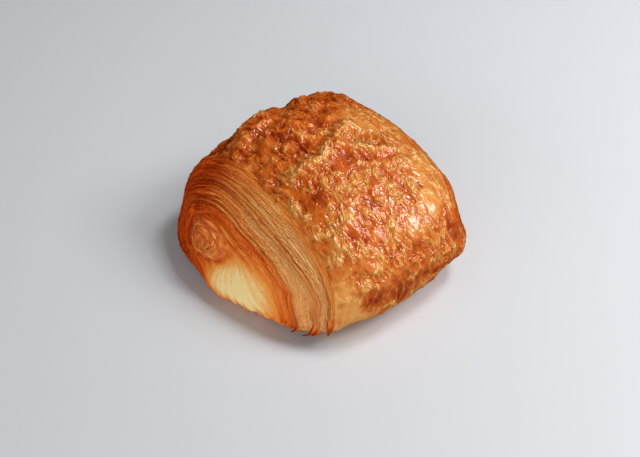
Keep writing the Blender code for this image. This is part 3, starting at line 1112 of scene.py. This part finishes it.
def build_glazed_sheet(sizes, colours):
    """Outer sheet that wraps over the crown, with wrinkles and rolled-in edges."""
    left_turn, right_turn = math.cos(math.pi * SHEET_LEFT), math.cos(math.pi * SHEET_RIGHT)
    ring_ways = np.arccos(np.linspace(left_turn, right_turn, SHEET_ROWS)) / math.pi
    ring, angle = np.meshgrid(ring_ways, even_angles(SHEET_COLUMNS, SHEET_BASE_SHARE),
                              indexing="ij")
    way = sheet_edge_left(ring, angle)
    relief, toast, calm = sheet_fields(way, angle, sizes)

    outer = surface(way, angle, relief)
    inward = -grid_normals(outer)
    thickness = sizes.sheet_thickness / MM
    rim_steps = (*RIM_STEPS, (RIM_RETURN, INSIDE_DEPTH / thickness))
    rims = []
    for row, beyond in ((-1, 1), (0, -1)):
        along = unit(outer[row] - outer[row - beyond])
        rims.append(np.stack([outer[row] + (along * out + inward[row] * down) * thickness
                              for out, down in rim_steps]))
    picks = (np.array(INSIDE_ROWS) * (SHEET_ROWS - 1)).astype(int)
    inner = outer[picks] + inward[picks] * INSIDE_DEPTH
    points = np.concatenate([outer, rims[0], inner, rims[1][::-1]])

    def extended(field, rim_value):
        """The field carried on over both rims and the inside."""
        last = np.repeat(field[-1:], len(rim_steps), axis=0) + rim_value
        first = np.repeat(field[:1], len(rim_steps), axis=0) + rim_value
        return np.concatenate([field, last, field[picks], first])

    fields = {"toast": extended(toast, RIM_TOAST), "calm": extended(calm, 0.0)}
    return make_piece("glazed_sheet", [looped_part(points, fields)], glaze_material(colours))


# ------------ Materials ------------


def new_material(name):
    """Material with its node tree, links and shader."""
    material = bpy.data.materials.new(name)
    material.use_nodes = True
    tree = material.node_tree
    return material, tree, tree.nodes["Principled BSDF"]


def add_node(tree, kind, **settings):
    """Node with its properties and unlinked inputs set by name."""
    node = tree.nodes.new(kind)
    for key, value in settings.items():
        if key.startswith("in_"):
            node.inputs[key[3:].replace("_", " ")].default_value = value
        else:
            setattr(node, key, value)
    return node


class Value:
    """Output of a shader node, which can be added to, taken from or multiplied."""

    def __init__(self, tree, socket):
        self.tree, self.socket = tree, socket

    def to(self, node, name):
        """Feed an input of a node."""
        self.tree.links.new(self.socket, node.inputs[name])

    def clamped(self):
        """The same output held between 0 and 1."""
        self.socket.node.use_clamp = True
        return self

    def combined(self, operation, first, second):
        """Output of a maths node on two outputs or numbers."""
        node = add_node(self.tree, "ShaderNodeMath", operation=operation)
        for index, value in enumerate((first, second)):
            if isinstance(value, Value):
                value.to(node, index)
            else:
                node.inputs[index].default_value = value
        return Value(self.tree, node.outputs[0])

    def __add__(self, other):
        return self.combined("ADD", self, other)

    def __sub__(self, other):
        return self.combined("SUBTRACT", self, other)

    def __rsub__(self, other):
        return self.combined("SUBTRACT", other, self)

    def __mul__(self, other):
        return self.combined("MULTIPLY", self, other)

    def __abs__(self):
        return self.combined("ABSOLUTE", self, 0.0)


def field(tree, name):
    """One float field of the mesh."""
    return Value(tree, add_node(tree, "ShaderNodeAttribute", attribute_name=name).outputs["Fac"])


def object_place(tree):
    """Place on the object, in metres."""
    return Value(tree, add_node(tree, "ShaderNodeTexCoord").outputs["Object"])


def noise(place, scale, detail, roughness=0.5, distortion=0.0):
    """Noise, about 0 to 1, at a scale in lumps per metre."""
    node = add_node(place.tree, "ShaderNodeTexNoise", in_Scale=scale, in_Detail=detail,
                    in_Roughness=roughness, in_Distortion=distortion)
    place.to(node, "Vector")
    return Value(place.tree, node.outputs["Fac"])


def mapped(value, low, high, to_low=0.0, to_high=1.0, kind="SMOOTHSTEP"):
    """The value brought from one range to another and held inside it."""
    node = add_node(value.tree, "ShaderNodeMapRange", interpolation_type=kind, in_From_Min=low,
                    in_From_Max=high, in_To_Min=to_low, in_To_Max=to_high)
    value.to(node, "Value")
    return Value(value.tree, node.outputs["Result"])


def thin_crests(value, width):
    """Lines, 0 to 1, along which a noise is middling."""
    return mapped(abs(value - 0.5), 0.0, width, 1.0, 0.0)


def bake_ramp(value, colours):
    """Colour of dough from pale (0) to darkest (1)."""
    ramp = add_node(value.tree, "ShaderNodeValToRGB")
    ramp.color_ramp.interpolation = "LINEAR"
    stops = ((0.0, colours.crumb), (0.2, colours.straw), (0.42, colours.gold),
             (0.68, colours.amber), (1.0, colours.brown))
    elements = ramp.color_ramp.elements
    while len(elements) < len(stops):
        elements.new(0.5)
    for element, (position, colour) in zip(elements, stops):
        element.position = position
        element.color = (*colour, 1.0)
    value.to(ramp, "Fac")
    return Value(value.tree, ramp.outputs["Color"])


def reddened(colour):
    """The colour with its red raised, for dough that stays moister than the glaze."""
    more_red, less_blue = 1.22, 0.85
    apart = add_node(colour.tree, "ShaderNodeSeparateColor")
    joined = add_node(colour.tree, "ShaderNodeCombineColor")
    colour.to(apart, "Color")
    red, green, blue = (Value(colour.tree, apart.outputs[index]) for index in range(3))
    (red * more_red).clamped().to(joined, "Red")
    green.to(joined, "Green")
    (blue * less_blue).to(joined, "Blue")
    return Value(colour.tree, joined.outputs["Color"])


def bump(height, distance, strength, before=None):
    """Normal with a bump of the height, added to an earlier bump if there is one."""
    node = add_node(height.tree, "ShaderNodeBump", in_Strength=strength, in_Distance=distance)
    height.to(node, "Height")
    if before is not None:
        before.to(node, "Normal")
    return Value(height.tree, node.outputs["Normal"])


def layer_place(tree, turn_scale):
    """Place that runs across the layers in X and round them in Y and Z."""
    vector = add_node(tree, "ShaderNodeCombineXYZ")
    field(tree, "strata").to(vector, "X")
    (field(tree, "turn_x") * turn_scale).to(vector, "Y")
    (field(tree, "turn_y") * turn_scale).to(vector, "Z")
    return Value(tree, vector.outputs["Vector"])


def stretched(place, stretch):
    """Place squeezed so that noise is drawn out round the roll."""
    spread = add_node(place.tree, "ShaderNodeMapping", in_Scale=(1.0, stretch, stretch))
    place.to(spread, "Vector")
    return Value(place.tree, spread.outputs["Vector"])


def set_all_over(shader, **settings):
    """Set inputs of the shader that are the same all over the surface."""
    for name, value in settings.items():
        shader.inputs[name.replace("_", " ")].default_value = value


def glaze_material(colours):
    """Egg-washed crust: browned unevenly, glossy, with fine dry wrinkles whose thin crests are
    painted paler, a painted highlight.
    """
    material, tree, shader = new_material("egg_washed_crust")
    place = object_place(tree)
    lively = (1.0 - field(tree, "calm")).clamped()
    crinkle = lively * thin_crests(noise(stretched(place, 0.6), 330, 1, 0.5, 0.9), 0.14)
    blotches = (noise(stretched(place, 0.45), 420, 4, 0.6) - 0.5) * (lively * 0.65 + 0.35)
    specks = noise(place, 1500, 3, 0.6) - 0.5
    # Thin crinkle crests painted paler: a painted highlight.
    toast = field(tree, "toast") + blotches * GLAZE_BLOTCHES + crinkle * GLAZE_CRINKLES
    toast = toast + specks * GLAZE_SPECKS
    bake_ramp(toast.clamped(), colours).to(shader, "Base Color")

    patchy = noise(place, 260, 3, 0.55)
    mapped(patchy, 0.3, 0.7, 0.26, 0.42, "LINEAR").to(shader, "Roughness")
    separate = add_node(tree, "ShaderNodeSeparateXYZ")
    place.to(separate, "Vector")
    height = Value(tree, separate.outputs["Z"])
    mapped(height, 0.004, 0.030, 0.15, 0.95).to(shader, "Coat Weight")
    set_all_over(shader, Specular_IOR_Level=0.58, Specular_Tint=(1.0, 0.88, 0.76, 1.0),
                 Coat_Roughness=0.18)

    normal = bump(crinkle, 0.0006, 0.95)
    normal = bump(noise(place, 1100, 2, 0.5, 0.6), 0.00008, 0.5, normal)
    normal.to(shader, "Normal")
    normal.to(shader, "Coat Normal")
    return material


def layer_material(colours):
    """Cut and stretched layers: drier, with fine streaks, open pores painted dark as painted
    shade, and browned edges.
    """
    name = "layered_dough"
    if name in bpy.data.materials:
        return bpy.data.materials[name]
    material, tree, shader = new_material(name)
    place = object_place(tree)
    open_dough, fibrous = field(tree, "layer"), field(tree, "fibrous")
    fibre = (noise(layer_place(tree, 0.35), 3.4, 5, 0.70) - 0.5) * fibrous
    grouped = mapped(noise(layer_place(tree, 0.35), 1.1, 2), 0.40, 0.62)
    lines = thin_crests(noise(layer_place(tree, 0.22), 3.4, 2, 0.5, 0.15), 0.045)
    lines = lines * grouped * fibrous
    hairs = thin_crests(noise(layer_place(tree, 0.18), 8.0, 2, 0.5, 0.2), 0.07) * fibrous
    blotches = noise(place, 500, 4, 0.6) - 0.5
    # Pits in the open dough, painted darker: painted shade in the pores.
    pits = mapped(noise(place, 1500, 2, 0.6), 0.50, 0.60) * open_dough
    toast = field(tree, "toast") + blotches * LAYER_BLOTCHES + fibre * LAYER_FIBRES
    toast = toast + lines * LAYER_LINES + hairs * LAYER_HAIRS + pits * LAYER_PITS
    crust = reddened(bake_ramp(toast.clamped(), colours))
    porous_share = (open_dough * (0.85 - (lines + pits * 0.5))).clamped()
    mixed = add_node(tree, "ShaderNodeMix", data_type="RGBA", clamp_factor=True)
    colour_a, colour_b, mixed_colour = mixed.inputs[6], mixed.inputs[7], mixed.outputs[2]
    porous_share.to(mixed, "Factor")
    tree.links.new(crust.socket, colour_a)
    colour_b.default_value = (*colours.porous, 1.0)
    tree.links.new(mixed_colour, shader.inputs["Base Color"])

    (blotches * 0.3 + (open_dough * 0.2 + 0.32)).to(shader, "Roughness")
    set_all_over(shader, Specular_IOR_Level=0.35, Specular_Tint=(1.0, 0.70, 0.42, 1.0),
                 Coat_Weight=0.22, Coat_Roughness=0.16, Subsurface_Weight=0.08,
                 Subsurface_Radius=(1.0, 0.5, 0.2), Subsurface_Scale=0.0012)

    normal = bump(noise(place, 1300, 3, 0.6) - pits * 0.8, 0.00028, 0.5)
    grooves = lines + hairs * 0.4
    normal = bump(fibre - grooves * 0.40, 0.0010, 0.7, normal)
    normal.to(shader, "Normal")
    normal.to(shader, "Coat Normal")
    return material


def floor_material(colours):
    """Plain pale matt floor with the faintest mottling."""
    material, tree, shader = new_material("plain_floor")
    mottle = noise(object_place(tree), 60, 2)
    mapped(mottle, 0.3, 0.7, 0.46, 0.52, "LINEAR").to(shader, "Roughness")
    set_all_over(shader, Base_Color=(*colours.floor, 1.0))
    return material


# ------------ Stage ------------


# Area lights: direction in degrees, distance and size in metres, and if reflections show them.
Lamp = namedtuple("Lamp", "azimuth elevation distance width height colour glossy")
LAMPS = {
    "window": Lamp(58, 42, 0.9, 0.32, 0.38, (0.97, 0.985, 1.0), True),
    "high_window": Lamp(80, 62, 0.9, 0.22, 0.22, (1.0, 0.98, 0.97), True),
    "fill": Lamp(-58, 16, 1.6, 3.4, 1.1, (1.0, 0.955, 0.925), False),
}
SKY_COLOUR = (1.0, 0.955, 0.92, 1.0)
FLOOR_HALF = 3.0
SENSOR_WIDTH = 36.0
CLIP_START = 0.01
LOOK_AT = Vector((6.1, 9.8, 0.0)) * MM


def direction(azimuth, elevation):
    """Unit vector from the pastry towards a camera or light."""
    flat = math.cos(elevation)
    return Vector((math.sin(azimuth) * flat, -math.cos(azimuth) * flat, math.sin(elevation)))


def place_facing(item, towards, distance, look_at):
    """Put a camera or light at a distance, facing the place it looks at."""
    item.location = look_at + towards * distance
    item.rotation_euler = towards.to_track_quat("Z", "Y").to_euler()
    bpy.context.collection.objects.link(item)


def add_lamp(name, lamp, power):
    """Oblong area light that faces the pastry."""
    light = bpy.data.lights.new(name, "AREA")
    light.shape = "RECTANGLE"
    light.size = lamp.width
    light.size_y = lamp.height
    light.energy = power
    light.color = lamp.colour
    item = bpy.data.objects.new(name, light)
    item.visible_glossy = lamp.glossy
    towards = direction(math.radians(lamp.azimuth), math.radians(lamp.elevation))
    place_facing(item, towards, lamp.distance, Vector())


def build_stage(stage, colours):
    """Floor, camera, window light, weak fill and sky."""
    half = FLOOR_HALF
    corners = [(-half, -half, 0), (half, -half, 0), (half, half, 0), (-half, half, 0)]
    mesh = bpy.data.meshes.new("floor")
    mesh.from_pydata(corners, [], [(0, 1, 2, 3)])
    mesh.materials.append(floor_material(colours))
    floor = bpy.data.objects.new("floor", mesh)
    bpy.context.collection.objects.link(floor)
    floor.visible_glossy = False

    camera_data = bpy.data.cameras.new("camera")
    camera_data.lens = stage.lens
    camera_data.sensor_width = SENSOR_WIDTH
    camera_data.clip_start = CLIP_START
    camera = bpy.data.objects.new("camera", camera_data)
    place_facing(camera, direction(stage.azimuth, stage.elevation), stage.distance, LOOK_AT)
    bpy.context.scene.camera = camera

    powers = {"window": stage.key_power, "high_window": stage.high_power,
              "fill": stage.fill_power}
    for name, power in powers.items():
        add_lamp(name, LAMPS[name], power)

    world = bpy.data.worlds.new("sky")
    world.use_nodes = True
    background = world.node_tree.nodes["Background"]
    background.inputs["Color"].default_value = SKY_COLOUR
    background.inputs["Strength"].default_value = stage.sky
    bpy.context.scene.world = world
    world.cycles_visibility.glossy = False
    bpy.context.scene.view_settings.view_transform = "Standard"


# ------------ Operators and panel ------------


class PASTRY_OT_left_end(bpy.types.Operator):
    """Build the large swirl of stacked layers with its eye"""

    bl_idname = "pastry.left_end"
    bl_label = "Large Swirl"

    def execute(self, context):
        piece = build_left_end(context.scene.pastry_sizes, context.scene.pastry_colours)
        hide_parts(CAD_NODE)
        return {"FINISHED"}


class PASTRY_OT_right_end(bpy.types.Operator):
    """Build the small swirl of stacked layers"""

    bl_idname = "pastry.right_end"
    bl_label = "Small Swirl"

    def execute(self, context):
        build_right_end(context.scene.pastry_sizes, context.scene.pastry_colours)
        return {"FINISHED"}


class PASTRY_OT_corners(bpy.types.Operator):
    """Build the browned pointed corners where the layers tuck under"""

    bl_idname = "pastry.corners"
    bl_label = "Layer Corners"

    def execute(self, context):
        build_corners(context.scene.pastry_colours)
        return {"FINISHED"}


class PASTRY_OT_glazed_sheet(bpy.types.Operator):
    """Build the wrinkled, egg-washed outer sheet"""

    bl_idname = "pastry.glazed_sheet"
    bl_label = "Glazed Sheet"

    def execute(self, context):
        build_glazed_sheet(context.scene.pastry_sizes, context.scene.pastry_colours)
        return {"FINISHED"}


class PASTRY_OT_stage(bpy.types.Operator):
    """Build the floor, the lights and the camera"""

    bl_idname = "pastry.stage"
    bl_label = "Stage"

    def execute(self, context):
        build_stage(context.scene.pastry_stage, context.scene.pastry_colours)
        return {"FINISHED"}


BUILD_STEPS = (PASTRY_OT_stage, PASTRY_OT_left_end, PASTRY_OT_right_end, PASTRY_OT_corners,
               PASTRY_OT_glazed_sheet)


class PASTRY_PT_panel(bpy.types.Panel):
    """Lists the pieces of the pastry"""

    bl_idname = "PASTRY_PT_panel"
    bl_label = "Laminated Pastry"
    bl_space_type = "VIEW_3D"
    bl_region_type = "UI"
    bl_category = "Pastry"

    def draw(self, context):
        for step in BUILD_STEPS:
            self.layout.operator(step.bl_idname)


CLASSES = (PastrySizes, PastryColours, PastryStage, *BUILD_STEPS, PASTRY_PT_panel)


def register():
    for cls in CLASSES:
        bpy.utils.register_class(cls)
    bpy.types.Scene.pastry_sizes = PointerProperty(type=PastrySizes)
    bpy.types.Scene.pastry_colours = PointerProperty(type=PastryColours)
    bpy.types.Scene.pastry_stage = PointerProperty(type=PastryStage)


def unregister():
    del bpy.types.Scene.pastry_stage
    del bpy.types.Scene.pastry_colours
    del bpy.types.Scene.pastry_sizes
    for cls in reversed(CLASSES):
        bpy.utils.unregister_class(cls)


def main():
    """Build everything in order."""
    register()
    bpy.ops.pastry.stage()
    bpy.ops.pastry.left_end()
    bpy.ops.pastry.right_end()
    bpy.ops.pastry.corners()
    bpy.ops.pastry.glazed_sheet()


if __name__ == "__main__":
    main()
